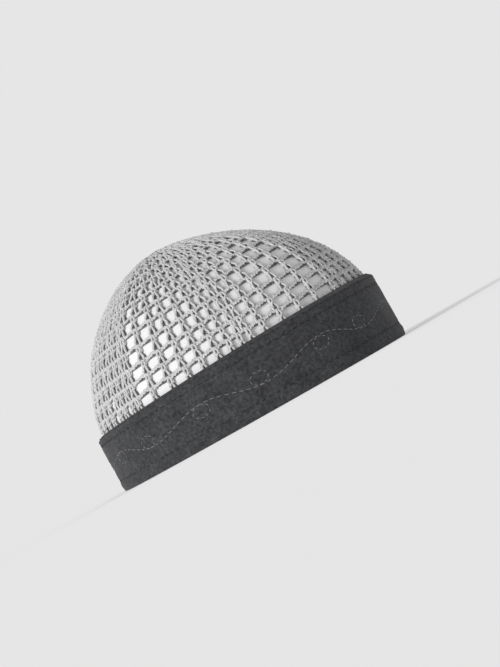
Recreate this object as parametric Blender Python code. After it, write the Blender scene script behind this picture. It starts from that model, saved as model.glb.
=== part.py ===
"""Kufi cap: an openwork mesh crown over a thin lining, sewn into an upright cloth band
with a sweatband inside.

Metres, +Z up. The origin is the middle of the rim, on the ground that the cap stands on.
The embroidered front faces -Y, and angles round the cap run from there towards +X.
"""

import math
from collections import namedtuple

import bmesh
import bpy
from mathutils import Vector

# Clearance between two layers that touch
FIT_GAP = 0.0003

# Band
BAND_RADIUS = 0.0950
BAND_HEIGHT = 0.0386  # at the front and the back
BAND_RISE = 0.0040  # how much higher the top edge is at +X, and lower at -X
BAND_WALL = 0.0022
EDGE_HEIGHT = 0.0028  # stretch of the band that rolls in towards its top edge
EDGE_ROLL = 0.0023  # how far the top edge lies inside the outer face
EDGE_WALL = 0.0015
FOOT_ROUNDING = 0.0012
INNER_ROUNDING = 0.0006
HEM_HEIGHT = 0.0070
HEM_FOLD = 0.0009  # thickness that the turned hem adds inside the band

# Sweatband
SWEATBAND_WALL = 0.0010
SWEATBAND_LIFT = 0.0022  # height of its lower edge above the ground
SWEATBAND_DROP = 0.0045  # height of its upper edge below the band's top edge
SWEATBAND_STRAIGHT = 0.0056  # stretch that lies flat against the hem
LAYER_EASE = 0.0005  # slack between the sweatband and the lining

# Crown
CROWN_RISE = 0.0769  # from the band's top edge to the outside of the crown's top
CROWN_LEAN = 0.0105  # how far the top lies towards -X
CROWN_TUCK = 0.0085  # stretch of net and lining that is sewn in behind the band
NET_WALL = 0.0020
LINING_WALL = 0.0010

# Gaps of the net
COURSE_PITCH = 0.0076  # one course of the mesh, measured along the wall
COURSES_PER_GAP = 2
GAP_ROWS = 4
BAR_HEIGHT = 0.0031
EDGE_BAR = 0.0026  # net between the band's top edge and the lowest gaps
POST_WIDTH = 0.0028

# Facets
TURNS = 72  # sides of the band and the sweatband
CORNER_STEPS = 2  # facets across a quarter round
CLOSE_FACET = 8.0  # widest facet of a closely worked zone, in degrees
TOP_RINGS = 6  # rings of facets between the highest gaps and the crown's top
ARC_STEPS = 90  # steps for measuring along the crown's profile
SLOPE_SPAN = 1.0  # stretch of latitude over which the crown's slope is taken
SHARP_ANGLE = math.radians(40)

# The band's rolled edge, from its outer face up. Shares of EDGE_ROLL and EDGE_HEIGHT.
EdgeRow = namedtuple("EdgeRow", "inward height")
ROLLED_EDGE = (
    EdgeRow(0.00, 0.00),
    EdgeRow(0.35, 0.45),
    EdgeRow(0.85, 0.75),
)

# The crown's profile, by latitude from the band's edge (0) to the top (90).
# Fullness is a share of a true ellipse's radius, and lean a share of CROWN_LEAN.
CrownRow = namedtuple("CrownRow", "latitude fullness lean")
CROWN_FORM = (
    CrownRow(0, 1.000, 0.00),
    CrownRow(15, 0.969, 0.00),
    CrownRow(30, 0.942, 0.13),
    CrownRow(45, 0.905, 0.33),
    CrownRow(60, 0.855, 0.60),
    CrownRow(75, 0.785, 0.88),
    CrownRow(90, 0.750, 1.00),
)

# Zones of the net round the cap, from FIRST_ZONE_ANGLE on. A zone is worked open or
# close, takes some columns of stitches, and has a width as a share of the round.
Zone = namedtuple("Zone", "is_open columns width")
FIRST_ZONE_ANGLE = -71.0
NET_ZONES = (
    Zone(False, 6, 29.6),
    Zone(True, 5, 36.5),
    Zone(False, 3, 13.0),
    Zone(True, 5, 41.1),
    Zone(False, 3, 18.9),
    Zone(True, 5, 43.5),
    Zone(False, 3, 15.6),
    Zone(True, 5, 43.5),
    Zone(False, 3, 15.6),
    Zone(True, 5, 43.5),
    Zone(False, 3, 15.6),
    Zone(True, 5, 43.6),
)

# Sizes that follow from those above
BAND_INNER = BAND_RADIUS - BAND_WALL
HEM_INNER = BAND_INNER - HEM_FOLD
EDGE_OUTER = BAND_RADIUS - EDGE_ROLL
EDGE_INNER = EDGE_OUTER - EDGE_WALL
CROWN_RADIUS = EDGE_INNER - FIT_GAP
TUCK_RADIUS = max(BAND_INNER - FIT_GAP, CROWN_RADIUS)
LINING_DEPTH = NET_WALL + FIT_GAP
HIGH_SIDE = math.pi / 2  # the angle of +X, where the band stands highest


def clear_scene():
    for existing in list(bpy.data.objects):
        bpy.data.objects.remove(existing)


def make_material(name, colour, roughness):
    material = bpy.data.materials.new(name)
    material.use_nodes = True
    shader = material.node_tree.nodes["Principled BSDF"]
    shader.inputs["Base Color"].default_value = (*colour, 1.0)
    shader.inputs["Roughness"].default_value = roughness
    shader.inputs["Metallic"].default_value = 0.0
    return material


def make_object(name, bm, material):
    mesh = bpy.data.meshes.new(name)
    bm.to_mesh(mesh)
    bm.free()
    mesh.materials.append(material)
    mesh.shade_smooth()
    mesh.set_sharp_from_angle(angle=SHARP_ANGLE)
    made = bpy.data.objects.new(name, mesh)
    bpy.context.scene.collection.objects.link(made)
    return made


def rise_at(height, side):
    """Height of a line round the band, where side runs from -1 at -X to 1 at +X."""
    return height + BAND_RISE * (height / BAND_HEIGHT) * side


def turned_strip(name, section, material):
    """A closed section of (radius, height) points, spun round Z and then set askew."""
    bm = bmesh.new()
    corners = [bm.verts.new((0.0, -radius, height)) for radius, height in section]
    for corner, following in zip(corners, corners[1:] + corners[:1]):
        bm.edges.new((corner, following))
    bmesh.ops.spin(
        bm,
        geom=bm.verts[:] + bm.edges[:],
        cent=(0.0, 0.0, 0.0),
        axis=(0.0, 0.0, 1.0),
        angle=math.tau,
        steps=TURNS,
        use_merge=True,
    )
    for vert in bm.verts:
        side = vert.co.x / Vector(vert.co.xy).length
        vert.co.z = rise_at(vert.co.z, side)
    bmesh.ops.recalc_face_normals(bm, faces=bm.faces[:])
    return make_object(name, bm, material)


def rounded(middle_radius, middle_height, size, start, end):
    """Points of a round corner of a section, from one angle in degrees to another."""
    steps = round(abs(end - start) / 90.0 * CORNER_STEPS)
    turns = [math.radians(start + (end - start) * i / steps) for i in range(steps + 1)]
    return [
        (middle_radius + size * math.cos(turn), middle_height + size * math.sin(turn))
        for turn in turns
    ]


def band():
    """Cloth turned under at the foot, with a hem inside, and rolled in at the top."""
    foot = rounded(BAND_RADIUS - FOOT_ROUNDING, FOOT_ROUNDING, FOOT_ROUNDING, -90, 0)
    roll_foot = BAND_HEIGHT - EDGE_HEIGHT
    roll = [
        (BAND_RADIUS - EDGE_ROLL * row.inward, roll_foot + EDGE_HEIGHT * row.height)
        for row in ROLLED_EDGE
    ]
    half_edge = 0.5 * EDGE_WALL
    edge = rounded(EDGE_INNER + half_edge, BAND_HEIGHT - half_edge, half_edge, 0, 180)
    inside = [
        (BAND_INNER, roll_foot - half_edge),
        (BAND_INNER, HEM_HEIGHT + HEM_FOLD),
        (HEM_INNER, HEM_HEIGHT),
    ]
    inner_foot = rounded(HEM_INNER + INNER_ROUNDING, INNER_ROUNDING, INNER_ROUNDING, 180, 270)
    cloth = make_material("charcoal_cloth", (0.050, 0.051, 0.054), 0.95)
    return turned_strip("band", foot + roll + edge + inside + inner_foot, cloth)


def sweatband():
    """A strip that stands against the hem and slants in behind the lining."""
    low = HEM_INNER - FIT_GAP
    straight_top = SWEATBAND_LIFT + SWEATBAND_STRAIGHT
    lining_foot = TUCK_RADIUS - LINING_DEPTH - LINING_WALL
    lining_edge = crown_point(0.0, HIGH_SIDE, LINING_DEPTH + LINING_WALL).x
    share = SWEATBAND_DROP / CROWN_TUCK
    lining_inner = lining_edge + (lining_foot - lining_edge) * share
    outer = [
        (low, SWEATBAND_LIFT),
        (low, straight_top),
        (min(lining_foot - LAYER_EASE, low), BAND_HEIGHT - CROWN_TUCK),
        (min(lining_inner - LAYER_EASE, low), BAND_HEIGHT - SWEATBAND_DROP),
    ]
    inner = [(radius - SWEATBAND_WALL, height) for radius, height in reversed(outer)]
    cloth = make_material("black_cotton", (0.006, 0.006, 0.007), 0.85)
    return turned_strip("sweatband", outer + inner, cloth)


def tuck_radius(height):
    """Outer radius of the net where it is sewn in behind the band."""
    share = (BAND_HEIGHT - height) / CROWN_TUCK
    return CROWN_RADIUS + (TUCK_RADIUS - CROWN_RADIUS) * share


def form_at(latitude):
    """Fullness and lean at a latitude in degrees, on a smooth curve through the rows."""
    step = CROWN_FORM[1].latitude - CROWN_FORM[0].latitude
    last = len(CROWN_FORM) - 1
    low = min(int(latitude / step), last - 1)
    share = latitude / step - low
    rows = [CROWN_FORM[max(low - 1, 0)], CROWN_FORM[low], CROWN_FORM[low + 1]]
    rows.append(CROWN_FORM[low + 2] if low + 2 <= last else CROWN_FORM[last - 1])
    return [cubic([getattr(row, column) for row in rows], share) for column in ("fullness", "lean")]


def cubic(values, share):
    """Catmull-Rom curve between the middle two of four values."""
    before, start, end, after = values
    return 0.5 * (
        2.0 * start
        + (end - before) * share
        + (2.0 * before - 5.0 * start + 4.0 * end - after) * share**2
        + (3.0 * start - before - 3.0 * end + after) * share**3
    )


def profile_point(latitude):
    """Radius, height and lean of the crown's outside at a latitude in degrees."""
    fullness, lean = form_at(latitude)
    radius = CROWN_RADIUS * math.cos(math.radians(latitude)) * fullness
    height = BAND_HEIGHT + CROWN_RISE * math.sin(math.radians(latitude))
    return radius, height, CROWN_LEAN * lean


def arc_lengths():
    """Length along the profile from the band's edge to each of ARC_STEPS + 1 latitudes."""
    lengths = [0.0]
    before = profile_point(0.0)
    for step in range(1, ARC_STEPS + 1):
        here = profile_point(90.0 * step / ARC_STEPS)
        lengths.append(lengths[-1] + math.hypot(here[0] - before[0], here[1] - before[1]))
        before = here
    return lengths


def latitude_at(arc, lengths):
    """Latitude of the point that lies a length up the profile."""
    if arc >= lengths[-1]:
        return 90.0
    step = next(i for i, length in enumerate(lengths) if length > arc)
    share = (arc - lengths[step - 1]) / (lengths[step] - lengths[step - 1])
    return 90.0 * (step - 1 + share) / ARC_STEPS


def crown_point(ring, angle, depth):
    """A point of the crown, depth inside its outer surface.

    A ring above zero is a latitude in degrees, and one below zero a length down behind
    the band. Rings lie askew with the band's top edge and level out towards the top.
    """
    side = math.sin(angle)
    if ring < 0.0:
        height = BAND_HEIGHT + ring
        radius = tuck_radius(height) - depth
        return Vector((radius * side, -radius * math.cos(angle), rise_at(height, side)))
    level = BAND_HEIGHT + CROWN_RISE * math.sin(math.radians(ring))
    level += BAND_RISE * math.cos(math.radians(ring)) ** 2 * side
    share = min(max((level - BAND_HEIGHT) / CROWN_RISE, 0.0), 1.0)
    latitude = math.degrees(math.asin(share))
    radius, _, lean = profile_point(latitude)
    nearby = max(latitude - SLOPE_SPAN, 0.0)
    low_radius, low_height, _ = profile_point(nearby)
    high_radius, high_height, _ = profile_point(nearby + SLOPE_SPAN)
    slope = Vector((high_height - low_height, low_radius - high_radius)).normalized()
    radius -= depth * slope.x
    if ring >= 90.0:
        radius = 0.0
    return Vector(
        (radius * side - lean, -radius * math.cos(angle), level - depth * slope.y)
    )


def zone_edges():
    """Each zone of the net with the angles, in radians, at which it starts and ends."""
    whole = sum(zone.width for zone in NET_ZONES)
    start = math.radians(FIRST_ZONE_ANGLE)
    edges = []
    for zone in NET_ZONES:
        end = start + math.tau * zone.width / whole
        edges.append((zone, start, end))
        start = end
    return edges


def net_columns():
    """Angles of the column lines, and for each strip between two whether it has gaps."""
    post = POST_WIDTH / CROWN_RADIUS
    angles = []
    has_gaps = []
    for zone, start, end in zone_edges():
        if zone.is_open:
            cell = (end - start) / zone.columns
            for column in range(zone.columns):
                left = start + column * cell
                angles += [left + 0.5 * post, left + cell - 0.5 * post]
                has_gaps += [True, False]
        else:
            facets = math.ceil(math.degrees(end - start) / CLOSE_FACET)
            inner = [start + (end - start) * i / facets for i in range(1, facets)]
            angles += inner
            has_gaps += [False] * len(inner)
    return angles + [angles[0] + math.tau], has_gaps


def lining_columns():
    """Angles of the lining's lines, which run behind the middle of the net's posts."""
    angles = []
    for zone, start, end in zone_edges():
        parts = zone.columns if zone.is_open else math.ceil(math.degrees(end - start) / CLOSE_FACET)
        angles += [start + (end - start) * i / parts for i in range(parts)]
    return angles + [angles[0] + math.tau]


def net_rings(lengths):
    """Ring lines of the net from its sewn-in edge up, and which strips have gaps."""
    rings = [-CROWN_TUCK, -0.5 * CROWN_TUCK, 0.0]
    has_gaps = [False, False, False]
    pitch = COURSE_PITCH * COURSES_PER_GAP
    for row in range(GAP_ROWS):
        low = EDGE_BAR + row * pitch
        high = low + pitch - BAR_HEIGHT
        rings += [latitude_at(low, lengths), latitude_at(high, lengths)]
        has_gaps += [True, False]
    rings += top_rings(high, lengths)
    has_gaps += [False] * (TOP_RINGS - 1)
    return rings, has_gaps


def lining_rings(lengths):
    """Ring lines of the lining, which run behind the middle of the net's bars."""
    rings = [-CROWN_TUCK, 0.0]
    pitch = COURSE_PITCH * COURSES_PER_GAP
    for row in range(1, GAP_ROWS + 1):
        high = EDGE_BAR + row * pitch - 0.5 * BAR_HEIGHT
        rings.append(latitude_at(high, lengths))
    return rings + top_rings(high, lengths)


def top_rings(arc, lengths):
    """Evenly spaced rings from a length up the profile to the crown's top."""
    step = (lengths[-1] - arc) / TOP_RINGS
    return [latitude_at(arc + step * i, lengths) for i in range(1, TOP_RINGS)] + [90.0]


def crown_shell(angles, rings, depth, is_gap):
    """A grid laid on the crown, with the faces that is_gap names taken out."""
    columns = len(angles) - 1
    rows = len(rings) - 1
    bm = bmesh.new()
    bmesh.ops.create_grid(bm, x_segments=columns, y_segments=rows, size=0.5)
    gaps = []
    for face in bm.faces:
        middle = face.calc_center_median()
        column = int((middle.x + 0.5) * columns)
        row = int((middle.y + 0.5) * rows)
        if is_gap(column, row):
            gaps.append(face)
    for vert in bm.verts:
        column = round((vert.co.x + 0.5) * columns)
        row = round((vert.co.y + 0.5) * rows)
        vert.co = crown_point(rings[row], angles[column], depth)
    bmesh.ops.delete(bm, geom=gaps, context="FACES")
    bmesh.ops.remove_doubles(bm, verts=bm.verts[:], dist=1e-6)
    return bm


def thicken(made, wall):
    solidify = made.modifiers.new("wall", "SOLIDIFY")
    solidify.thickness = wall
    solidify.offset = -1.0
    solidify.use_even_offset = True


def crown_net(lengths):
    angles, gap_columns = net_columns()
    rings, gap_rows = net_rings(lengths)

    def is_gap(column, row):
        return gap_columns[column] and gap_rows[row]

    bm = crown_shell(angles, rings, 0.0, is_gap)
    yarn = make_material("grey_yarn", (0.42, 0.42, 0.42), 0.9)
    thicken(make_object("crown_net", bm, yarn), NET_WALL)


def crown_lining(lengths):
    def is_gap(column, row):
        return False

    bm = crown_shell(lining_columns(), lining_rings(lengths), LINING_DEPTH, is_gap)
    cloth = make_material("white_cotton", (0.86, 0.86, 0.85), 0.8)
    thicken(make_object("crown_lining", bm, cloth), LINING_WALL)


def main():
    clear_scene()
    lengths = arc_lengths()
    band()
    sweatband()
    crown_net(lengths)
    crown_lining(lengths)


main()
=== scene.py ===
"""Kufi cap: the looks of its openwork crown, lining, embroidered band and sweatband.

Metres, +Z up, and angles round the cap run from the embroidered front at -Y towards +X.
The crown's places are given as a length up its profile from the band's top edge, an angle
and a depth below its outer surface.
"""

import math
import random
from collections import namedtuple

import bmesh
import bpy
from mathutils import Matrix, Vector, noise


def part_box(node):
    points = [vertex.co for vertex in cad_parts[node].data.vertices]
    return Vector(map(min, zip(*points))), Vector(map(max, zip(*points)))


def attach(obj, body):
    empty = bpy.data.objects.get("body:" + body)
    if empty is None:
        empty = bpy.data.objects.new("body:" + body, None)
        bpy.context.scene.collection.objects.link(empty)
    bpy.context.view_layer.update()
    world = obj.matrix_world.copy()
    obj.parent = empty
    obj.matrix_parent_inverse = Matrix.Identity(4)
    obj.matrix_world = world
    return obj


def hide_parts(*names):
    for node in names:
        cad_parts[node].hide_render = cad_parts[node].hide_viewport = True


bl_info = {
    "name": "Kufi Cap Finish",
    "version": (1, 0, 0),
    "blender": (4, 5, 0),
    "location": "View3D > Sidebar > Kufi",
    "description": "Makes the yarn, cloth and stitches of a kufi cap around its packed solids",
    "category": "Object",
}

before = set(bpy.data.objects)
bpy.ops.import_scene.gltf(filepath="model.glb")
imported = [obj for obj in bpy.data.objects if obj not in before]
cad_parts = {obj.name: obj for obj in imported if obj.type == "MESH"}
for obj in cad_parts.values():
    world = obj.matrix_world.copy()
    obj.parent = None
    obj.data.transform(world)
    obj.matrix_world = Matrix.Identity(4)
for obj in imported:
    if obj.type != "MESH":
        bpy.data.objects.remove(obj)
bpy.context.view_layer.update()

# Sizes read from the frame
BAND_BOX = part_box("band")
NET_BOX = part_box("crown_net")
BAND_RADIUS = BAND_BOX[1].x

# Band and sweatband, as in the part's source
BAND_RISE = 0.0040
BAND_HEIGHT = BAND_BOX[1].z - BAND_RISE
BAND_WALL = 0.0022
EDGE_HEIGHT = 0.0028
EDGE_ROLL = 0.0023
EDGE_WALL = 0.0015
FOOT_ROUNDING = 0.0012
HEM_HEIGHT = 0.0070
HEM_FOLD = 0.0009
SWEATBAND_WALL = 0.0010
SWEATBAND_LIFT = 0.0022
SWEATBAND_DROP = 0.0045
SWEATBAND_STRAIGHT = 0.0056
FIT_GAP = 0.0003
LAYER_EASE = 0.0005

# Crown, as in the part's source
CROWN_LEAN = 0.0105
CROWN_TUCK = 0.0085
NET_WALL = 0.0020
LINING_WALL = 0.0010
CrownRow = namedtuple("CrownRow", "latitude fullness lean")
CROWN_FORM = (
    CrownRow(0, 1.000, 0.00),
    CrownRow(15, 0.969, 0.00),
    CrownRow(30, 0.942, 0.13),
    CrownRow(45, 0.905, 0.33),
    CrownRow(60, 0.855, 0.60),
    CrownRow(75, 0.785, 0.88),
    CrownRow(90, 0.750, 1.00),
)
BAND_INNER = BAND_RADIUS - BAND_WALL
HEM_INNER = BAND_INNER - HEM_FOLD
EDGE_INNER = BAND_RADIUS - EDGE_ROLL - EDGE_WALL
CROWN_RADIUS = EDGE_INNER - FIT_GAP
CROWN_RISE = NET_BOX[1].z - BAND_HEIGHT
TUCK_RADIUS = BAND_INNER - FIT_GAP
LINING_DEPTH = NET_WALL + FIT_GAP
ARC_STEPS = 360
SLOPE_SPAN = 1.0

# Zones of the net round the cap, from FIRST_ZONE_ANGLE on. A zone is worked open or close,
# and its columns widen or narrow across it by the share that drift names.
Zone = namedtuple("Zone", "is_open columns width drift")
FIRST_ZONE_ANGLE = -71.0
NET_ZONES = (
    Zone(False, 6, 29.6, -0.35),
    Zone(True, 5, 36.5, -0.22),
    Zone(False, 3, 13.0, -0.30),
    Zone(True, 5, 41.1, 0.35),
    Zone(False, 3, 18.9, 0.20),
    Zone(True, 5, 43.5, 0.10),
    Zone(False, 3, 15.6, 0.00),
    Zone(True, 5, 43.5, -0.12),
    Zone(False, 3, 15.6, 0.10),
    Zone(True, 5, 43.5, 0.10),
    Zone(False, 3, 15.6, 0.00),
    Zone(True, 5, 43.6, 0.12),
)

# Heights of the net's bars, as lengths up the profile
FIRST_FOOT = -0.0030
BARS = (
    0.0069,
    0.0153,
    0.0238,
    0.0337,
    0.0443,
    0.0545,
    0.0655,
    0.0768,
    0.0875,
    0.0980,
    0.1085,
    0.1185,
)
LOWER_BARS = 5
OPEN_CELL = 0.0052  # narrowest cell of an open zone, where columns are worked together
CLOSE_CELL = 0.0034

# Depths of the yarn below the crown's outer surface
POST_DEPTH = 0.0006
BAR_DEPTH = 0.0012
WRAP_DEPTH = 0.0004
BEHIND_DEPTH = 0.0019
# The dark strand at these depths is painted shade inside the posts and under the bars.
SHADE_STRAND_DEPTH = 0.0014
SHADE_STRAND_SAG = 0.0011
BAR_SWING = 0.00080  # how far a strand swings up and down as it twists along a bar
POST_JITTER = 0.0006
PLIES_PER_METRE = 420.0
YARN_BUMP = 0.00012
TOP_SPOKES = 10

# Stitching on the band
UPPER_SEAM = 0.0322
LOWER_SEAM = 0.0074
EDGE_SEAM = 0.0366
SEAM_RISE = 0.0024
WAVE_HEIGHT = 0.0189
WAVE_RISE = 0.0010
LOOP_SHIFT = -1.4
LOOP_WIDTH = 0.0052
LOOP_HEIGHT = 0.0035

# The wave's crests and troughs in turn: angle round the cap, and height
Turn = namedtuple("Turn", "angle height")
WAVE_TURNS = (
    Turn(-59.5, 0.0212),
    Turn(-41.5, 0.0148),
    Turn(-17.0, 0.0222),
    Turn(5.0, 0.0151),
    Turn(29.6, 0.0236),
    Turn(48.5, 0.0156),
    Turn(72.0, 0.0238),
    Turn(95.0, 0.0160),
    Turn(118.0, 0.0236),
    Turn(141.0, 0.0155),
    Turn(164.0, 0.0231),
    Turn(187.0, 0.0149),
    Turn(210.0, 0.0225),
    Turn(233.0, 0.0142),
    Turn(256.0, 0.0220),
    Turn(278.0, 0.0140),
)


class CapSizes(bpy.types.PropertyGroup):
    """Sizes of the yarn and the stitches."""

    yarn_width: bpy.props.FloatProperty(
        name="Yarn Width",
        description="Thickness of the yarn in the posts of the net",
        default=0.00145,
        min=0.0006,
        max=0.0020,
        unit="LENGTH",
    )
    ply_width: bpy.props.FloatProperty(
        name="Ply Width",
        description="Thickness of each of the two strands that twist along a bar",
        default=0.00132,
        min=0.0005,
        max=0.0020,
        unit="LENGTH",
    )
    # The dark strand is painted shade inside the posts and below the bars.
    shade_strand_width: bpy.props.FloatProperty(
        name="Shade Strand Width",
        description="Thickness of the darker strand inside the posts",
        default=0.00120,
        min=0.0005,
        max=0.0020,
        unit="LENGTH",
    )
    seam_pitch: bpy.props.FloatProperty(
        name="Seam Pitch",
        description="Length of one dark seam stitch with its gap",
        default=0.0044,
        min=0.002,
        max=0.01,
        unit="LENGTH",
    )
    wave_pitch: bpy.props.FloatProperty(
        name="Wave Pitch",
        description="Length of one light running stitch with its gap",
        default=0.0041,
        min=0.002,
        max=0.01,
        unit="LENGTH",
    )
    felt_swell: bpy.props.FloatProperty(
        name="Felt Swell",
        description="Height of the band's soft unevenness",
        default=0.00025,
        min=0.0,
        max=0.001,
        unit="LENGTH",
    )


class CapColours(bpy.types.PropertyGroup):
    """Colours of the cloths and the yarns."""

    felt: bpy.props.FloatVectorProperty(
        name="Felt",
        description="Charcoal wool of the band",
        default=(0.048, 0.049, 0.053),
        min=0.0,
        max=1.0,
        subtype="COLOR",
    )
    yarn: bpy.props.FloatVectorProperty(
        name="Yarn",
        description="Light grey yarn of the crown",
        default=(0.66, 0.66, 0.66),
        min=0.0,
        max=1.0,
        subtype="COLOR",
    )
    # Painted shade: this dark colour stands in for the shadow inside the posts and below the bars.
    shade_strand_colour: bpy.props.FloatVectorProperty(
        name="Shade Strand Colour",
        description="Darker grey strand inside the posts and below the bars",
        default=(0.16, 0.16, 0.16),
        min=0.0,
        max=1.0,
        subtype="COLOR",
    )
    lining: bpy.props.FloatVectorProperty(
        name="Lining",
        description="White cotton behind the net",
        default=(0.88, 0.88, 0.88),
        min=0.0,
        max=1.0,
        subtype="COLOR",
    )
    wave_thread: bpy.props.FloatVectorProperty(
        name="Wave Thread",
        description="Light thread of the wave and its loops",
        default=(0.22, 0.22, 0.23),
        min=0.0,
        max=1.0,
        subtype="COLOR",
    )
    seam_thread: bpy.props.FloatVectorProperty(
        name="Seam Thread",
        description="Dark thread of the band's seams",
        default=(0.016, 0.016, 0.017),
        min=0.0,
        max=1.0,
        subtype="COLOR",
    )
    sweatband: bpy.props.FloatVectorProperty(
        name="Sweatband",
        description="Near-black cotton inside the band",
        default=(0.010, 0.010, 0.011),
        min=0.0,
        max=1.0,
        subtype="COLOR",
    )
    floor: bpy.props.FloatVectorProperty(
        name="Floor",
        description="Pale floor that the cap stands on",
        default=(0.80, 0.80, 0.80),
        min=0.0,
        max=1.0,
        subtype="COLOR",
    )


def sizes():
    return bpy.context.scene.kufi_sizes


def colours():
    return bpy.context.scene.kufi_colours


# The crown's form


def cubic(values, share):
    """Catmull-Rom curve between the middle two of four values."""
    before, start, end, after = values
    return 0.5 * (
        2.0 * start
        + (end - before) * share
        + (2.0 * before - 5.0 * start + 4.0 * end - after) * share**2
        + (3.0 * start - before - 3.0 * end + after) * share**3
    )


def form_at(latitude):
    """Fullness and lean at a latitude in degrees, on a smooth curve through the rows."""
    step = CROWN_FORM[1].latitude - CROWN_FORM[0].latitude
    last = len(CROWN_FORM) - 1
    low = min(int(latitude / step), last - 1)
    share = latitude / step - low
    rows = [CROWN_FORM[max(low - 1, 0)], CROWN_FORM[low], CROWN_FORM[low + 1]]
    rows.append(CROWN_FORM[low + 2] if low + 2 <= last else CROWN_FORM[last - 1])
    return [cubic([getattr(row, column) for row in rows], share) for column in ("fullness", "lean")]


def profile_point(latitude):
    """Radius, height and lean of the crown's outside at a latitude in degrees."""
    fullness, lean = form_at(latitude)
    radius = CROWN_RADIUS * math.cos(math.radians(latitude)) * fullness
    height = BAND_HEIGHT + CROWN_RISE * math.sin(math.radians(latitude))
    return radius, height, CROWN_LEAN * lean


def measure_profile():
    """Length along the profile from the band's edge to each of ARC_STEPS + 1 latitudes."""
    lengths = [0.0]
    before = profile_point(0.0)
    for step in range(1, ARC_STEPS + 1):
        here = profile_point(90.0 * step / ARC_STEPS)
        lengths.append(lengths[-1] + math.hypot(here[0] - before[0], here[1] - before[1]))
        before = here
    return lengths


ARC_LENGTHS = measure_profile()
CROWN_ARC = ARC_LENGTHS[-1]


def latitude_at(arc):
    """Latitude of the point that lies a length up the profile."""
    if arc >= CROWN_ARC:
        return 90.0
    low, high = 0, ARC_STEPS
    while high - low > 1:
        middle = (low + high) // 2
        if ARC_LENGTHS[middle] > arc:
            high = middle
        else:
            low = middle
    share = (arc - ARC_LENGTHS[low]) / (ARC_LENGTHS[high] - ARC_LENGTHS[low])
    return 90.0 * (low + share) / ARC_STEPS


def rise_at(height, side):
    """Height of a line round the band, where side runs from -1 at -X to 1 at +X."""
    return height + BAND_RISE * (height / BAND_HEIGHT) * side


def crown_point(arc, angle, depth):
    """The crown's place at a length up its profile, an angle in radians and a depth."""
    side = math.sin(angle)
    if arc < 0.0:
        height = BAND_HEIGHT + arc
        tuck = CROWN_RADIUS + (TUCK_RADIUS - CROWN_RADIUS) * -arc / CROWN_TUCK
        radius = tuck - depth
        return Vector((radius * side, -radius * math.cos(angle), rise_at(height, side)))
    ring = latitude_at(arc)
    level = BAND_HEIGHT + CROWN_RISE * math.sin(math.radians(ring))
    level += BAND_RISE * math.cos(math.radians(ring)) ** 2 * side
    share = min(max((level - BAND_HEIGHT) / CROWN_RISE, 0.0), 1.0)
    latitude = math.degrees(math.asin(share))
    radius, _, lean = profile_point(latitude)
    nearby = max(latitude - SLOPE_SPAN, 0.0)
    low_radius, low_height, _ = profile_point(nearby)
    high_radius, high_height, _ = profile_point(nearby + SLOPE_SPAN)
    slope = Vector((high_height - low_height, low_radius - high_radius)).normalized()
    radius -= depth * slope.x
    if ring >= 90.0:
        radius = 0.0
    return Vector((radius * side - lean, -radius * math.cos(angle), level - depth * slope.y))


def crown_radius(arc):
    """Radius of the crown's outside at a length up its profile."""
    return profile_point(latitude_at(max(arc, 0.0)))[0]


# Materials


def new_material(name):
    material = bpy.data.materials.new(name)
    material.use_nodes = True
    tree = material.node_tree
    shader = tree.nodes["Principled BSDF"]
    return material, tree, shader


def add_node(tree, kind, **values):
    """A node with its sockets and settings set by name."""
    node = tree.nodes.new(kind)
    for name, value in values.items():
        if hasattr(node, name):
            setattr(node, name, value)
        else:
            node.inputs[name.replace("_", " ").title()].default_value = value
    return node


def noise_on(tree, place, scale, detail=2.0, roughness=0.5):
    node = add_node(tree, "ShaderNodeTexNoise")
    node.inputs["Scale"].default_value = scale
    node.inputs["Detail"].default_value = detail
    node.inputs["Roughness"].default_value = roughness
    tree.links.new(place, node.inputs["Vector"])
    return node.outputs["Fac"]


def remap(tree, value, low, high, to_low, to_high):
    node = add_node(tree, "ShaderNodeMapRange")
    node.inputs["From Min"].default_value = low
    node.inputs["From Max"].default_value = high
    node.inputs["To Min"].default_value = to_low
    node.inputs["To Max"].default_value = to_high
    tree.links.new(value, node.inputs["Value"])
    return node.outputs["Result"]


def maths(tree, operation, first, second):
    """A Math node on two values, each a socket or a number."""
    node = tree.nodes.new("ShaderNodeMath")
    node.operation = operation
    for socket, value in zip(node.inputs, (first, second)):
        if isinstance(value, (int, float)):
            socket.default_value = value
        else:
            tree.links.new(value, socket)
    return node.outputs["Value"]


def shaded(tree, colour, shade):
    """A colour made lighter or darker by a value round 1."""
    node = tree.nodes.new("ShaderNodeVectorMath")
    node.operation = "SCALE"
    node.inputs[0].default_value = colour
    tree.links.new(shade, node.inputs["Scale"])
    return node.outputs["Vector"]


def add_bump(tree, shader, height, distance, strength=1.0):
    node = tree.nodes.new("ShaderNodeBump")
    node.inputs["Strength"].default_value = strength
    node.inputs["Distance"].default_value = distance
    tree.links.new(height, node.inputs["Height"])
    tree.links.new(node.outputs["Normal"], shader.inputs["Normal"])


def object_place(tree):
    return tree.nodes.new("ShaderNodeTexCoord").outputs["Object"]


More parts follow.
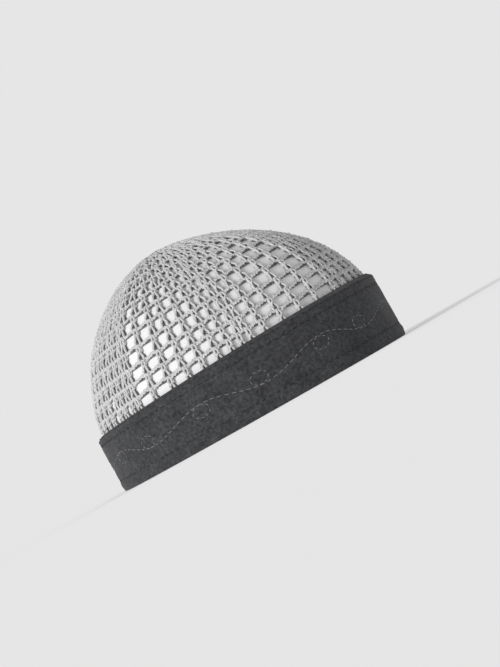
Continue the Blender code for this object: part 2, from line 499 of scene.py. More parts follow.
def felt_material():
    """Felted wool: dark and pale fibres mixed, with a soft nap."""
    material, tree, shader = new_material("charcoal_felt")
    place = object_place(tree)
    fibres = noise_on(tree, place, 1500.0, 3.0, 0.65)
    flecks = noise_on(tree, place, 520.0, 2.0, 0.6)
    clouds = noise_on(tree, place, 75.0, 3.0, 0.55)
    shade = maths(
        tree,
        "MULTIPLY",
        remap(tree, flecks, 0.3, 0.7, 0.58, 1.42),
        remap(tree, clouds, 0.3, 0.7, 0.84, 1.16),
    )
    shade = maths(tree, "MULTIPLY", shade, remap(tree, fibres, 0.3, 0.7, 0.74, 1.26))
    tree.links.new(shaded(tree, colours().felt, shade), shader.inputs["Base Color"])
    shader.inputs["Roughness"].default_value = 0.95
    shader.inputs["Specular IOR Level"].default_value = 0.2
    shader.inputs["Sheen Weight"].default_value = 0.12
    shader.inputs["Sheen Roughness"].default_value = 0.5
    nap = maths(tree, "ADD", maths(tree, "MULTIPLY", flecks, 0.6), maths(tree, "MULTIPLY", fibres, 0.4))
    add_bump(tree, shader, nap, 0.00035, 0.8)
    return material


def yarn_material(name, colour, plies_per_metre, bump):
    """Spun yarn whose plies turn along it, from a UV map in metres along and round it, its colour darker
    in the grooves between the plies as painted shade.
    """
    material, tree, shader = new_material(name)
    place = object_place(tree)
    uv = tree.nodes.new("ShaderNodeUVMap")
    uv.uv_map = "UVMap"
    parts = tree.nodes.new("ShaderNodeSeparateXYZ")
    tree.links.new(uv.outputs["UV"], parts.inputs["Vector"])
    along = maths(tree, "MULTIPLY", parts.outputs["X"], plies_per_metre * math.tau)
    around = maths(tree, "MULTIPLY", parts.outputs["Y"], 2.0 * math.tau)
    twist = maths(tree, "SINE", maths(tree, "ADD", along, around), 0.0)
    fibres = noise_on(tree, place, 2600.0, 2.0, 0.6)
    clouds = noise_on(tree, place, 210.0, 2.0, 0.5)
    # Painted shade: the colour falls with the twist, darkest where the bump puts the grooves between the
    # plies.
    shade = maths(
        tree,
        "MULTIPLY",
        remap(tree, twist, -1.0, 1.0, 0.84, 1.08),
        remap(tree, clouds, 0.3, 0.7, 0.90, 1.10),
    )
    shade = maths(tree, "MULTIPLY", shade, remap(tree, fibres, 0.3, 0.7, 0.92, 1.08))
    tree.links.new(shaded(tree, colour, shade), shader.inputs["Base Color"])
    shader.inputs["Roughness"].default_value = 0.8
    shader.inputs["Specular IOR Level"].default_value = 0.3
    shader.inputs["Sheen Weight"].default_value = 0.15
    shader.inputs["Sheen Roughness"].default_value = 0.4
    height = maths(tree, "ADD", twist, maths(tree, "MULTIPLY", fibres, 0.7))
    add_bump(tree, shader, height, bump, 0.7)
    return material


def cotton_material(name, colour, thread_pitch, shade_range, bump):
    """Plain woven cotton: fine threads crossing in the piece's UV map, in metres, with painted shade in
    the hollows between the crossings.
    """
    material, tree, shader = new_material(name)
    place = object_place(tree)
    uv = tree.nodes.new("ShaderNodeUVMap")
    uv.uv_map = "UVMap"
    parts = tree.nodes.new("ShaderNodeSeparateXYZ")
    tree.links.new(uv.outputs["UV"], parts.inputs["Vector"])
    warp = maths(tree, "SINE", maths(tree, "MULTIPLY", parts.outputs["X"], math.tau / thread_pitch), 0.0)
    weft = maths(tree, "SINE", maths(tree, "MULTIPLY", parts.outputs["Y"], math.tau / thread_pitch), 0.0)
    weave = maths(tree, "MULTIPLY", warp, weft)
    clouds = noise_on(tree, place, 60.0, 3.0, 0.5)
    # Painted shade: the colour is darker where the weave's bump is low, between the threads' crossings.
    low, high = shade_range
    shade = maths(
        tree,
        "MULTIPLY",
        remap(tree, weave, -1.0, 1.0, low, high),
        remap(tree, clouds, 0.3, 0.7, 0.98, 1.02),
    )
    tree.links.new(shaded(tree, colour, shade), shader.inputs["Base Color"])
    shader.inputs["Roughness"].default_value = 0.85
    shader.inputs["Specular IOR Level"].default_value = 0.25
    height = maths(tree, "ADD", weave, clouds)
    add_bump(tree, shader, height, bump, 0.6)
    return material


# Meshes


def link_mesh(name, mesh, material, node):
    """The finished piece: an object at the origin that rides, and stands for its CAD node."""
    mesh.name = name
    mesh.materials.clear()
    mesh.materials.append(material)
    piece = bpy.data.objects.new(name, mesh)
    bpy.context.scene.collection.objects.link(piece)
    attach(piece, "root")
    if node:
        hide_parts(node)
    return piece


def finish_bmesh(bm, name, material, node):
    mesh = bpy.data.meshes.new(name)
    bm.to_mesh(mesh)
    bm.free()
    mesh.shade_smooth()
    return link_mesh(name, mesh, material, node)


def turned_section(section, turns):
    """A closed section of (radius, height) points, turned round Z as a grid that is closed."""
    rows = len(section)
    bm = bmesh.new()
    bmesh.ops.create_grid(bm, x_segments=turns, y_segments=rows, size=0.5)
    for vert in bm.verts:
        angle = math.tau * round((vert.co.x + 0.5) * turns) / turns
        radius, height = section[round((vert.co.y + 0.5) * rows) % rows]
        vert.co = (radius * math.sin(angle), -radius * math.cos(angle), height)
    bmesh.ops.remove_doubles(bm, verts=bm.verts[:], dist=1e-6)
    bmesh.ops.recalc_face_normals(bm, faces=bm.faces[:])
    return bm


def unroll_uv(bm, radius):
    """A UV map in metres round and up a turned piece."""
    layer = bm.loops.layers.uv.new("UVMap")
    for face in bm.faces:
        middle = face.calc_center_median()
        centre = math.atan2(middle.x, -middle.y)
        for loop in face.loops:
            angle = math.atan2(loop.vert.co.x, -loop.vert.co.y)
            if angle - centre > math.pi:
                angle -= math.tau
            elif centre - angle > math.pi:
                angle += math.tau
            loop[layer].uv = (angle * radius, loop.vert.co.z)


def stepped(start, end, count):
    """Points on the way from one section point to another, without the last one."""
    return [
        (start[0] + (end[0] - start[0]) * i / count, start[1] + (end[1] - start[1]) * i / count)
        for i in range(count)
    ]


def arc_points(middle, size, start, end, count):
    """Points round a corner of a section, from one angle in degrees to another."""
    turns = [math.radians(start + (end - start) * i / count) for i in range(count + 1)]
    return [(middle[0] + size * math.cos(turn), middle[1] + size * math.sin(turn)) for turn in turns]


def seam_height(height, angle):
    """Height of a seam that lies askew with the band."""
    return height + SEAM_RISE * (height / UPPER_SEAM) * math.sin(angle)


def wave_height(angle):
    """Height of the wave, which swings smoothly from each of its turns to the next."""
    first = WAVE_TURNS[0].angle
    degrees = (math.degrees(angle) - first) % 360.0 + first
    turns = WAVE_TURNS + (Turn(first + 360.0, WAVE_TURNS[0].height),)
    for before, after in zip(turns, turns[1:]):
        if degrees <= after.angle:
            break
    share = (degrees - before.angle) / (after.angle - before.angle)
    return before.height + (after.height - before.height) * 0.5 * (1.0 - math.cos(math.pi * share))


def dent(distance, reach):
    return math.exp(-((distance / reach) ** 2))


def felt_offset(angle, height):
    """How far the band's face stands out: soft swells, and dents along its seams."""
    around = Vector((math.sin(angle) * 9.0, math.cos(angle) * 9.0, height * 95.0))
    offset = sizes().felt_swell * noise.noise(around)
    stitches = round(math.tau * BAND_RADIUS / sizes().seam_pitch)
    pull = 0.70 + 0.30 * math.cos(stitches * angle)
    for seam, depth, reach in (
        (UPPER_SEAM, 0.00060, 0.0013),
        (LOWER_SEAM, 0.00055, 0.0013),
        (EDGE_SEAM, 0.00030, 0.0008),
    ):
        offset -= depth * pull * dent(height - seam_height(seam, angle), reach)
    offset += 0.00035 * dent(height - seam_height(0.0040, angle), 0.0022)
    offset -= 0.00022 * dent(height - wave_height(angle), 0.0011)
    return offset


class KUFI_OT_band(bpy.types.Operator):
    """Make the felted cloth band, turned under at the foot and rolled in at the top"""

    bl_idname = "kufi.band"
    bl_label = "Band"

    def execute(self, context):
        roll_foot = BAND_HEIGHT - EDGE_HEIGHT
        half_edge = 0.5 * EDGE_WALL
        foot_middle = (BAND_RADIUS - FOOT_ROUNDING, FOOT_ROUNDING)
        section = arc_points(foot_middle, FOOT_ROUNDING, -90, 0, 5)
        section += stepped((BAND_RADIUS, FOOT_ROUNDING), (BAND_RADIUS, roll_foot), 36)[1:]
        section += [
            (BAND_RADIUS, roll_foot),
            (BAND_RADIUS - EDGE_ROLL * 0.04, roll_foot + EDGE_HEIGHT * 0.18),
            (BAND_RADIUS - EDGE_ROLL * 0.22, roll_foot + EDGE_HEIGHT * 0.38),
            (BAND_RADIUS - EDGE_ROLL * 0.60, roll_foot + EDGE_HEIGHT * 0.60),
        ]
        edge_middle = (EDGE_INNER + half_edge, BAND_HEIGHT - half_edge)
        section += arc_points(edge_middle, half_edge, 20, 180, 6)
        section += [
            (BAND_INNER, roll_foot - half_edge),
            (BAND_INNER, 0.5 * (roll_foot + HEM_HEIGHT)),
            (BAND_INNER, HEM_HEIGHT + 2.0 * HEM_FOLD),
            (BAND_INNER - 0.2 * HEM_FOLD, HEM_HEIGHT + 0.7 * HEM_FOLD),
            (HEM_INNER, HEM_HEIGHT - 0.2 * HEM_FOLD),
            (HEM_INNER, 0.5 * HEM_HEIGHT),
        ]
        section += arc_points((HEM_INNER + 0.0006, 0.0006), 0.0006, 180, 270, 3)
        bm = turned_section(section, 544)
        for vert in bm.verts:
            angle = math.atan2(vert.co.x, -vert.co.y)
            radius = vert.co.xy.length
            height = rise_at(vert.co.z, math.sin(angle))
            if radius > BAND_RADIUS - 0.5 * BAND_WALL:
                away = min(max((vert.co.z - 0.0006) / 0.0030, 0.0), 1.0)
                radius += felt_offset(angle, height) * away
            vert.co = (radius * math.sin(angle), -radius * math.cos(angle), height)
        piece = finish_bmesh(bm, "band_cloth", felt_material(), "band")
        return {"FINISHED"}


class KUFI_OT_sweatband(bpy.types.Operator):
    """Make the black cotton strip inside the band"""

    bl_idname = "kufi.sweatband"
    bl_label = "Sweatband"

    def execute(self, context):
        low = HEM_INNER - FIT_GAP
        lining_foot = TUCK_RADIUS - LINING_DEPTH - LINING_WALL
        lining_edge = crown_point(0.0, 0.5 * math.pi, LINING_DEPTH + LINING_WALL).x
        share = SWEATBAND_DROP / CROWN_TUCK
        lining_inner = lining_edge + (lining_foot - lining_edge) * share
        straight_top = SWEATBAND_LIFT + SWEATBAND_STRAIGHT
        corners = [
            (low, SWEATBAND_LIFT),
            (low, straight_top),
            (min(lining_foot - LAYER_EASE, low), BAND_HEIGHT - CROWN_TUCK),
            (min(lining_inner - LAYER_EASE, low), BAND_HEIGHT - SWEATBAND_DROP),
        ]
        outer = []
        for start, end in zip(corners, corners[1:]):
            outer += stepped(start, end, 6)
        outer.append(corners[-1])
        half = 0.5 * SWEATBAND_WALL
        top = (outer[-1][0] - half, outer[-1][1] + half * 0.6)
        foot = (outer[0][0] - half, outer[0][1] - half * 0.6)
        inner = [(radius - SWEATBAND_WALL, height) for radius, height in reversed(outer)]
        bm = turned_section(outer + [top] + inner + [foot], 180)
        for vert in bm.verts:
            vert.co.z = rise_at(vert.co.z, vert.co.x / vert.co.xy.length)
        unroll_uv(bm, HEM_INNER)
        cloth = cotton_material("black_cotton", colours().sweatband, 0.0011, (0.7, 1.25), 0.0001)
        piece = finish_bmesh(bm, "sweatband_strip", cloth, "sweatband")
        return {"FINISHED"}


class KUFI_OT_lining(bpy.types.Operator):
    """Make the smooth white lining that shows through the net"""

    bl_idname = "kufi.lining"
    bl_label = "Crown Lining"

    def execute(self, context):
        columns, rows = 180, 72
        bm = bmesh.new()
        bmesh.ops.create_grid(bm, x_segments=columns, y_segments=rows, size=0.5, calc_uvs=True)
        layer = bm.loops.layers.uv.verify()
        span = CROWN_ARC + CROWN_TUCK
        for face in bm.faces:
            for loop in face.loops:
                place = loop.vert.co
                loop[layer].uv = (
                    (place.x + 0.5) * math.tau * CROWN_RADIUS,
                    (place.y + 0.5) * span,
                )
        for vert in bm.verts:
            angle = (vert.co.x + 0.5) * math.tau
            arc = (vert.co.y + 0.5) * span - CROWN_TUCK
            if vert.co.y > 0.4999:
                arc = CROWN_ARC
            vert.co = crown_point(arc, angle, LINING_DEPTH)
        bmesh.ops.remove_doubles(bm, verts=bm.verts[:], dist=1e-6)
        bmesh.ops.recalc_face_normals(bm, faces=bm.faces[:])
        cloth = cotton_material("white_cotton", colours().lining, 0.0008, (0.96, 1.03), 0.00006)
        piece = finish_bmesh(bm, "lining_shell", cloth, "crown_lining")
        wall = piece.modifiers.new("wall", "SOLIDIFY")
        wall.thickness = LINING_WALL
        wall.offset = -1.0
        wall.use_even_offset = True
        steps = [CROWN_ARC * (i + 0.5) / rows for i in range(rows)]
        dome = sum(math.tau * crown_radius(arc) for arc in steps) * CROWN_ARC / rows
        return {"FINISHED"}


# The net


def zone_edges():
    """Each zone of the net with the angles, in radians, at which it starts and ends."""
    whole = sum(zone.width for zone in NET_ZONES)
    start = math.radians(FIRST_ZONE_ANGLE)
    edges = []
    for zone in NET_ZONES:
        end = start + math.tau * zone.width / whole
        edges.append((zone, start, end))
        start = end
    return edges


def post_angles(arc):
    """Angles of the posts in the course that ends at a length up the profile."""
    radius = crown_radius(arc)
    angles = []
    for zone, start, end in zone_edges():
        least = OPEN_CELL if zone.is_open else CLOSE_CELL
        count = min(zone.columns, max(1, int((end - start) * radius / least)))
        widths = [1.0 + zone.drift * ((k + 0.5) / count - 0.5) * 2.0 for k in range(count)]
        reach = start
        for width in widths:
            angles.append(reach)
            reach += (end - start) * width / sum(widths)
    return angles


class Course:
    """One round of the net: its posts, and the bar that joins their heads."""

    def __init__(self, number, draw):
        self.high = BARS[number]
        self.low = BARS[number - 1] if number else FIRST_FOOT
        self.radius = crown_radius(0.5 * (self.high + max(self.low, 0.0)))
        self.head_radius = crown_radius(self.high)
        angles = post_angles(0.5 * (self.high + max(self.low, 0.0)))
        jitter = POST_JITTER / self.radius
        self.angles = [angle + draw.uniform(-jitter, jitter) for angle in angles]

    def cells(self):
        """For each post its angle and the angle of the next one."""
        following = self.angles[1:] + [self.angles[0] + math.tau]
        return list(zip(self.angles, following))


def place_of(angle, across, radius, arc, depth):
    """A yarn point, across metres to the right of an angle."""
    return crown_point(arc, angle + across / max(radius, 0.002), depth)


def bar_points(course, start, end, phase, draw):
    """Points of one strand along a bar, twisting round the bar's middle line."""
    width = (end - start) * course.head_radius
    count = 4 if width > 0.0085 else 3
    lift = min(0.0009, 0.09 * width)
    points = []
    for i in range(count):
        share = (i + 0.5) / count
        turn = phase + math.pi * i
        arc = course.high + lift * (2.0 * share - 1.0) + BAR_SWING * math.cos(turn)
        arc += draw.uniform(-0.00025, 0.00025)
        depth = BAR_DEPTH + 0.00050 * math.sin(turn + 0.8)
        inset = min(0.0014, 0.2 * width)
        across = inset + (width - 2.0 * inset) * share + draw.uniform(-0.0002, 0.0002)
        points.append(place_of(start, across, course.head_radius, arc, depth))
    return points


class Post:
    """The sizes of one post: where its loops pinch, and how wide they are."""

    def __init__(self, course, start, end, draw):
        self.start = start
        self.radius = course.radius
        self.width = (end - start) * course.radius
        self.low = course.low
        self.high = course.high
        height = self.high - self.low
        self.waist = self.low + height * draw.uniform(0.48, 0.58)
        self.upper = 0.5 * (self.waist + self.high)
        self.lower = self.low + 0.22 * height
        reach = min(1.0, self.width / 0.0064)
        self.head = 0.00055 * reach
        self.belly = draw.uniform(0.00105, 0.00135) * reach
        self.pinch = 0.00060 * reach
        self.foot = draw.uniform(0.00150, 0.00185) * reach
        self.lean = draw.uniform(-0.0004, 0.0004)

    def at(self, across, arc, depth):
        share = (arc - self.low) / (self.high - self.low)
        return place_of(self.start, across + self.lean * share, self.radius, arc, depth)


def post_strand(course, posts, draw):
    """Points of the strand that makes every post's two legs and half of the bar."""
    points = []
    for post, (start, end) in zip(posts, course.cells()):
        for side in (-1.0, 1.0):
            leg = [
                post.at(side * post.head, post.high - 0.0003, POST_DEPTH + 0.0003),
                post.at(side * post.belly, post.upper, POST_DEPTH),
                post.at(side * post.pinch, post.waist, POST_DEPTH + 0.0004),
                post.at(side * post.foot, post.lower, POST_DEPTH),
                post.at(side * 0.45 * post.foot, post.low - 0.0009, BEHIND_DEPTH),
            ]
            points += leg if side < 0.0 else leg[::-1]
        points += bar_points(course, start, end, 0.0, draw)
    return points


def wrap_strand(course, posts, draw):
    """Points of the strand that winds down and up every post and twists along the bar."""
    points = []
    for post, (start, end) in zip(posts, course.cells()):
        wide = post.belly + 0.0003
        points += [
            post.at(-post.head - 0.0006, post.high - 0.0008, BAR_DEPTH),
            post.at(-0.3 * wide, post.high + 0.0001, WRAP_DEPTH),
            post.at(post.head + 0.0005, post.high - 0.0012, BAR_DEPTH),
            post.at(0.0, post.upper, BEHIND_DEPTH - 0.0001),
            post.at(-wide, post.waist - 0.0006, BAR_DEPTH),
            post.at(0.0, post.waist + 0.0001, WRAP_DEPTH - 0.0003),
            post.at(wide, post.waist + 0.0008, BAR_DEPTH),
            post.at(post.head + 0.0009, post.high - 0.0010, BEHIND_DEPTH - 0.0002),
        ]
        points += bar_points(course, start, end, math.pi, draw)
    return points


def shade_strand_points(course, posts, draw):
    """Points of the darker strand inside every post, which runs on below the bar, as painted shade where
    the posts' gaps and the bars' undersides fall in shadow.
    """
    points = []
    for post in posts:
        points += [
            post.at(-0.5 * post.head, post.high - 0.0014, SHADE_STRAND_DEPTH),
            post.at(-0.3 * post.pinch, post.waist, SHADE_STRAND_DEPTH + 0.0002),
            post.at(-0.5 * post.foot, post.lower, SHADE_STRAND_DEPTH),
            post.at(0.2 * post.foot, post.low + 0.0008, SHADE_STRAND_DEPTH),
            post.at(post.foot + 0.0007, post.lower - 0.0002, SHADE_STRAND_DEPTH + 0.0003),
            post.at(0.6 * post.pinch, post.waist, SHADE_STRAND_DEPTH + 0.0002),
            post.at(0.5 * post.head, post.high - 0.0014, SHADE_STRAND_DEPTH),
        ]
        for share in (0.3, 0.7):
            sag = SHADE_STRAND_SAG + draw.uniform(-0.0002, 0.0002)
            points.append(post.at(share * post.width, post.high - sag, BEHIND_DEPTH - 0.0001))
    return points


def closed_tube(points, width, draw, roundness=1):
    """A closed smooth strand through points, as a mesh with a UV map in metres."""
    curve = bpy.data.curves.new("strand", "CURVE")
    curve.dimensions = "3D"
    curve.bevel_depth = 0.5 * width
    curve.bevel_resolution = roundness
    curve.resolution_u = 2
    spline = curve.splines.new("BEZIER")
    spline.bezier_points.add(len(points) - 1)
    for knot, point in zip(spline.bezier_points, points):
        knot.co = point
        knot.radius = draw.uniform(0.88, 1.12)
        knot.handle_left_type = knot.handle_right_type = "AUTO"
    spline.use_cyclic_u = True
    strand = bpy.data.objects.new("strand", curve)
    bpy.context.scene.collection.objects.link(strand)
    graph = bpy.context.evaluated_depsgraph_get()
    mesh = bpy.data.meshes.new_from_object(strand.evaluated_get(graph))
    length = spline.calc_length()
    bpy.data.objects.remove(strand)
    bpy.data.curves.remove(curve)
    for corner in mesh.uv_layers[0].data:
        corner.uv = (corner.uv.x * length, corner.uv.y)
    return mesh


def join_tubes(tubes):
    bm = bmesh.new()
    for tube in tubes:
        bm.from_mesh(tube)
        bpy.data.meshes.remove(tube)
    return bm


class KUFI_OT_crown_net(bpy.types.Operator):
    """Make the yarn of the openwork crown, course by course"""

    bl_idname = "kufi.crown_net"
    bl_label = "Crown Net"

    def execute(self, context):
        draw = random.Random(51)
        posts, bars, shade_strands = [], [], []
        for number in range(len(BARS)):
            course = Course(number, draw)
            made = [Post(course, start, end, draw) for start, end in course.cells()]
            posts.append(closed_tube(post_strand(course, made, draw), sizes().yarn_width, draw))
            bars.append(closed_tube(wrap_strand(course, made, draw), sizes().ply_width, draw))
            # The dark strand and its material are painted shade inside the posts and below the bars.
            shade_strands.append(closed_tube(shade_strand_points(course, made, draw), sizes().shade_strand_width, draw, 0))
        yarn = yarn_material("grey_yarn", colours().yarn, PLIES_PER_METRE, YARN_BUMP)
        shade = yarn_material("painted_shade_yarn", colours().shade_strand_colour, PLIES_PER_METRE, YARN_BUMP)
        for name, tubes, material in (
            ("net_lower", posts[:LOWER_BARS], yarn),
            ("net_upper", posts[LOWER_BARS:], yarn),
            ("net_bars", bars, yarn),
            ("net_painted_shade", shade_strands, shade),
        ):
            finish_bmesh(join_tubes(tubes), name, material, "crown_net")
        return {"FINISHED"}


class KUFI_OT_crown_top(bpy.types.Operator):
    """Make the gathered yarn that closes the crown's top"""

    bl_idname = "kufi.crown_top"
    bl_label = "Crown Top"

    def execute(self, context):
        draw = random.Random(5)
        tubes = []
        low = BARS[-1]
        points = []
        for k in range(TOP_SPOKES):
            angle = math.tau * k / TOP_SPOKES
            points += [
                crown_point(low - 0.0006, angle - 0.16, POST_DEPTH + 0.0006),
                crown_point(0.5 * (low + CROWN_ARC), angle - 0.10, POST_DEPTH),
                crown_point(CROWN_ARC - 0.0022, angle, POST_DEPTH + 0.0003),
                crown_point(0.5 * (low + CROWN_ARC), angle + 0.10, POST_DEPTH),
                crown_point(low - 0.0006, angle + 0.16, POST_DEPTH + 0.0006),
            ]
        tubes.append(closed_tube(points, sizes().yarn_width, draw))
        for reach, depth in ((0.0022, 0.0002), (0.0012, 0.0004)):
            ring = [
                crown_point(CROWN_ARC - reach, math.tau * k / TOP_SPOKES, depth)
                for k in range(TOP_SPOKES)
            ]
            tubes.append(closed_tube(ring, sizes().yarn_width, draw))
        yarn = bpy.data.materials["grey_yarn"]
        finish_bmesh(join_tubes(tubes), "net_top", yarn, "crown_net")
        return {"FINISHED"}


# Stitches

STITCH_BATCH = 17  # stitches made in a small mesh before they join the long row


def add_stitch(bm, middle, along, out, length, width, thickness):
    """One stitch: a long bead laid on the cloth."""
    side = out.cross(along).normalized()
    turn = Matrix([[side[i], out[i], along[i]] for i in range(3)]).to_4x4()
    place = Matrix.Translation(middle) @ turn @ Matrix.Diagonal((width, thickness, length, 1.0))
    bmesh.ops.create_uvsphere(bm, u_segments=6, v_segments=5, radius=0.5, matrix=place)


def roll_inset(angle, height):
    """How far the rolled edge has turned in at a height on the band."""
    top = rise_at(BAND_HEIGHT, math.sin(angle))
    share = (height - (top - EDGE_HEIGHT)) / EDGE_HEIGHT
    return EDGE_ROLL * 0.95 * max(share - 0.06, 0.0) ** 1.15


def band_place(angle, height, proud):
    radius = BAND_RADIUS + felt_offset(angle, height) + proud - roll_inset(angle, height)
    return Vector((radius * math.sin(angle), -radius * math.cos(angle), height))


def pour(batch, bm):
    """Adds a small bmesh to a larger one."""
    mesh = bpy.data.meshes.new("batch")
    batch.to_mesh(mesh)
    batch.free()
    bm.from_mesh(mesh)
    bpy.data.meshes.remove(mesh)


def run_stitches(bm, line, count, fill, width, thickness, proud, draw):
    """Stitches along a line given as angle and height for a share of its length."""
    steps = count * 8
    points = [band_place(*line(i / steps), proud) for i in range(steps + 1)]
    lengths = [0.0]
    for before, here in zip(points, points[1:]):
        lengths.append(lengths[-1] + (here - before).length)
    pitch = lengths[-1] / count
    step = 0
    batch = bmesh.new()
    for k in range(count):
        middle_length = (k + 0.5 + draw.uniform(-0.06, 0.06)) * pitch
        while step < steps - 1 and lengths[step + 1] < middle_length:
            step += 1
        share = (middle_length - lengths[step]) / (lengths[step + 1] - lengths[step])
        middle = points[step].lerp(points[step + 1], min(max(share, 0.0), 1.0))
        along = (points[step + 1] - points[step]).normalized()
        out = Vector((middle.x, middle.y, 0.0)).normalized()
        turn = draw.uniform(-0.05, 0.05)
        along = (along + out.cross(along) * turn).normalized()
        length = pitch * fill * draw.uniform(0.90, 1.10)
        add_stitch(batch, middle, along, out, length, width, thickness)
        if k % STITCH_BATCH == STITCH_BATCH - 1 or k == count - 1:
            pour(batch, bm)
            batch = bmesh.new()


class KUFI_OT_seams(bpy.types.Operator):
    """Sew the dark seams along the band's top and foot"""

    bl_idname = "kufi.seams"
    bl_label = "Dark Seams"

    def execute(self, context):
        draw = random.Random(12)
        bm = bmesh.new()
        count = round(math.tau * BAND_RADIUS / sizes().seam_pitch)
        for seam, fill, width in (
            (UPPER_SEAM, 0.66, 0.00065),
            (LOWER_SEAM, 0.50, 0.00055),
            (EDGE_SEAM, 0.55, 0.00060),
        ):

            def line(share, seam=seam):
                angle = math.tau * share
                return angle, seam_height(seam, angle)

            run_stitches(bm, line, count, fill, width, 0.00050, 0.0, draw)
        thread = yarn_thread("seam_thread", colours().seam_thread)
        finish_bmesh(bm, "seam_stitches", thread, None)
        return {"FINISHED"}


class KUFI_OT_wave(bpy.types.Operator):
    """Embroider the light running wave and its loops round the band"""

    bl_idname = "kufi.wave"
    bl_label = "Wave and Loops"

    def execute(self, context):
        draw = random.Random(7)
        bm = bmesh.new()

        def wave(share):
            angle = math.tau * share
            return angle, wave_height(angle)

        length = math.tau * BAND_RADIUS * 1.029
        count = round(length / sizes().wave_pitch)
        run_stitches(bm, wave, count, 0.72, 0.00045, 0.00045, 0.00005, draw)
        for turn in WAVE_TURNS:
            centre = math.radians(turn.angle + LOOP_SHIFT)
            height = WAVE_HEIGHT + WAVE_RISE * math.sin(centre)
            start = draw.uniform(0.0, 1.0)

            def loop(share, centre=centre, height=height, start=start):
                way = math.tau * (share + start)
                angle = centre + LOOP_WIDTH * math.cos(way) / BAND_RADIUS
                return angle, height + LOOP_HEIGHT * math.sin(way)

            run_stitches(bm, loop, 9, 0.66, 0.00042, 0.00042, 0.00003, draw)
        thread = yarn_thread("wave_thread", colours().wave_thread)
        finish_bmesh(bm, "wave_stitches", thread, None)
        return {"FINISHED"}


def yarn_thread(name, colour):
    """Smooth twisted sewing thread."""
    material, tree, shader = new_material(name)
    place = object_place(tree)
    grain = noise_on(tree, place, 2400.0, 2.0, 0.6)
    tree.links.new(
        shaded(tree, colour, remap(tree, grain, 0.3, 0.7, 0.85, 1.15)), shader.inputs["Base Color"]
    )
    shader.inputs["Roughness"].default_value = 0.6
    shader.inputs["Specular IOR Level"].default_value = 0.35
    add_bump(tree, shader, grain, 0.0001, 0.6)
    return material


# The stage

BACKDROP = 0.791
AMBIENT = 0.42
KEY_FROM = (-0.68, -0.65, 0.34)
KEY_STRENGTH = 2.0
KEY_SPREAD = 22.0
FLOOR_GLOW = 0.28  # lifts the floor to the backdrop's grey
FLOOR_REACH = 30.0

# The camera looks level at the cap from the front, rolled as the photograph is.
# Lengths on the picture are in its pixels.
CAMERA_DISTANCE = 0.95
CAMERA_HEIGHT = 0.010
CAMERA_LIFT = 0.6
CAMERA_ROLL = 29.318
PICTURE_HEIGHT = 667.0
FOCAL_LENGTH = 1598.0
AIM_LEFT = 16.0
AIM_UP = 79.0
SENSOR = 36.0


def soft_sun(name, direction, strength, spread):
    light = bpy.data.lights.new(name, "SUN")
    light.energy = strength
    light.angle = math.radians(spread)
    lamp = bpy.data.objects.new(name, light)
    lamp.rotation_mode = "QUATERNION"
    lamp.rotation_quaternion = (-Vector(direction)).normalized().to_track_quat("-Z", "Y")
    bpy.context.scene.collection.objects.link(lamp)
    return lamp


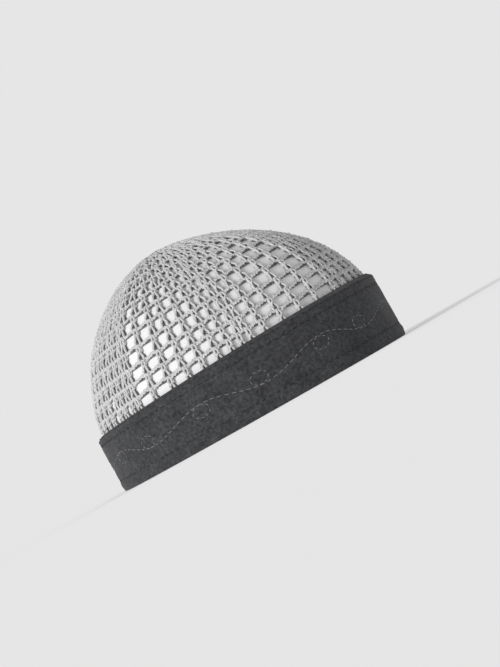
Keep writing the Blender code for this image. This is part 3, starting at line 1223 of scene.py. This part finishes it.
class KUFI_OT_stage(bpy.types.Operator):
    """Set up the pale floor, the soft studio light and the camera"""

    bl_idname = "kufi.stage"
    bl_label = "Stage"

    def execute(self, context):
        scene = context.scene
        scene.view_settings.view_transform = "Standard"
        world = bpy.data.worlds.new("studio")
        world.use_nodes = True
        links = world.node_tree.links
        ambient = world.node_tree.nodes["Background"]
        ambient.inputs["Color"].default_value = (AMBIENT, AMBIENT, AMBIENT, 1.0)
        backdrop = world.node_tree.nodes.new("ShaderNodeBackground")
        backdrop.inputs["Color"].default_value = (BACKDROP, BACKDROP, BACKDROP, 1.0)
        seen = world.node_tree.nodes.new("ShaderNodeLightPath")
        choice = world.node_tree.nodes.new("ShaderNodeMixShader")
        links.new(seen.outputs["Is Camera Ray"], choice.inputs["Fac"])
        links.new(ambient.outputs["Background"], choice.inputs[1])
        links.new(backdrop.outputs["Background"], choice.inputs[2])
        links.new(choice.outputs["Shader"], world.node_tree.nodes["World Output"].inputs["Surface"])
        scene.world = world

        bm = bmesh.new()
        bmesh.ops.create_grid(bm, x_segments=1, y_segments=1, size=FLOOR_REACH)
        mesh = bpy.data.meshes.new("floor")
        bm.to_mesh(mesh)
        bm.free()
        material, tree, shader = new_material("pale_floor")
        shader.inputs["Base Color"].default_value = (*colours().floor, 1.0)
        shader.inputs["Roughness"].default_value = 1.0
        shader.inputs["Specular IOR Level"].default_value = 0.0
        shader.inputs["Emission Color"].default_value = (1.0, 1.0, 1.0, 1.0)
        shader.inputs["Emission Strength"].default_value = FLOOR_GLOW
        mesh.materials.append(material)
        floor = bpy.data.objects.new("floor", mesh)
        scene.collection.objects.link(floor)

        soft_sun("key_light", KEY_FROM, KEY_STRENGTH, KEY_SPREAD)

        away = CAMERA_DISTANCE * math.cos(math.radians(CAMERA_LIFT))
        place = Vector((0.0, -away, CAMERA_HEIGHT))
        roll = math.radians(CAMERA_ROLL)
        right = Vector((1.0, 0.0, 0.0))
        ahead = (Vector((0.0, 0.0, 0.0)) - place).normalized()
        above = right.cross(ahead)
        right_rolled = math.cos(roll) * right - math.sin(roll) * above
        up_rolled = math.sin(roll) * right + math.cos(roll) * above
        aim = ahead - right_rolled * AIM_LEFT / FOCAL_LENGTH + up_rolled * AIM_UP / FOCAL_LENGTH
        aim.normalize()
        camera = bpy.data.cameras.new("camera")
        camera.sensor_width = SENSOR
        camera.lens = SENSOR * FOCAL_LENGTH / PICTURE_HEIGHT
        camera.clip_start = 0.01
        eye = bpy.data.objects.new("camera", camera)
        side = aim.cross(up_rolled).normalized()
        up = side.cross(aim)
        turn = [[side[i], up[i], -aim[i]] for i in range(3)]
        eye.rotation_mode = "QUATERNION"
        eye.rotation_quaternion = Matrix(turn).to_quaternion()
        eye.location = place
        scene.collection.objects.link(eye)
        scene.camera = eye
        return {"FINISHED"}


class KUFI_PT_panel(bpy.types.Panel):
    """The cap's pieces, with the sizes and colours that they use"""

    bl_label = "Kufi Cap"
    bl_idname = "KUFI_PT_panel"
    bl_space_type = "VIEW_3D"
    bl_region_type = "UI"
    bl_category = "Kufi"

    def draw(self, context):
        layout = self.layout
        for group in (sizes(), colours()):
            box = layout.box()
            for name in group.__annotations__:
                box.prop(group, name)
        for operator in OPERATORS:
            layout.operator(operator.bl_idname)


OPERATORS = (
    KUFI_OT_band,
    KUFI_OT_sweatband,
    KUFI_OT_lining,
    KUFI_OT_crown_net,
    KUFI_OT_crown_top,
    KUFI_OT_seams,
    KUFI_OT_wave,
    KUFI_OT_stage,
)
CLASSES = (CapSizes, CapColours, *OPERATORS, KUFI_PT_panel)


def register():
    for one in CLASSES:
        bpy.utils.register_class(one)
    bpy.types.Scene.kufi_sizes = bpy.props.PointerProperty(type=CapSizes)
    bpy.types.Scene.kufi_colours = bpy.props.PointerProperty(type=CapColours)


def unregister():
    del bpy.types.Scene.kufi_colours
    del bpy.types.Scene.kufi_sizes
    for one in reversed(CLASSES):
        bpy.utils.unregister_class(one)


def main():
    register()
    bpy.ops.kufi.band()
    bpy.ops.kufi.sweatband()
    bpy.ops.kufi.lining()
    bpy.ops.kufi.crown_net()
    bpy.ops.kufi.crown_top()
    bpy.ops.kufi.seams()
    bpy.ops.kufi.wave()
    bpy.ops.kufi.stage()


if __name__ == "__main__":
    main()
